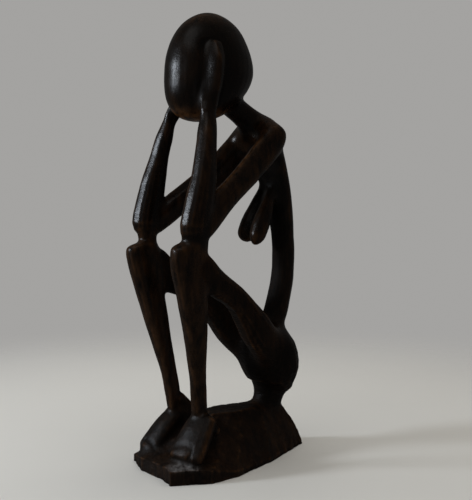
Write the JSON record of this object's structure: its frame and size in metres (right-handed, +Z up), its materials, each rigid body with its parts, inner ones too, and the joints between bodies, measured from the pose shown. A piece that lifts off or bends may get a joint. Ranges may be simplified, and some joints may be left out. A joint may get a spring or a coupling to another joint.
{
  "type": "abstract wooden figurine",
  "caption": "Dark carved wooden figurine of a faceless seated figure with elbows on its knees and hands on its egg-shaped head, on a rough chiselled block; stands on a shelf as an ornament.",
  "frame": {"origin": "middle of the flat underside of the block, on the surface the figurine stands on", "axes": "+Z up along the height; the figure faces -Y; +X is the figure's own left"},
  "size_m": [0.0772, 0.1235, 0.298],
  "materials": {
    "waxed_wood": "near-black brown stain, sanded and waxed to a soft sheen",
    "rasped_wood": "near-black brown stain over fine rasp marks, low sheen",
    "chiselled_wood": "near-black brown stain over rough chisel cuts, worn edges"
  },
  "bodies": {
    "root": {"base": "chiselled_wood", "seat": "rasped_wood", "back": "waxed_wood", "shoulders": "waxed_wood", "neck": "waxed_wood", "head": "waxed_wood", "left_foot": "chiselled_wood", "left_shin": "waxed_wood", "left_thigh": "rasped_wood", "left_hand": "waxed_wood", "left_forearm": "waxed_wood", "left_upper_arm": "waxed_wood", "left_breast": "waxed_wood", "right_foot": "chiselled_wood", "right_shin": "waxed_wood", "right_thigh": "rasped_wood", "right_hand": "waxed_wood", "right_forearm": "waxed_wood", "right_upper_arm": "waxed_wood", "right_breast": "waxed_wood"}
  },
  "joints": []
}
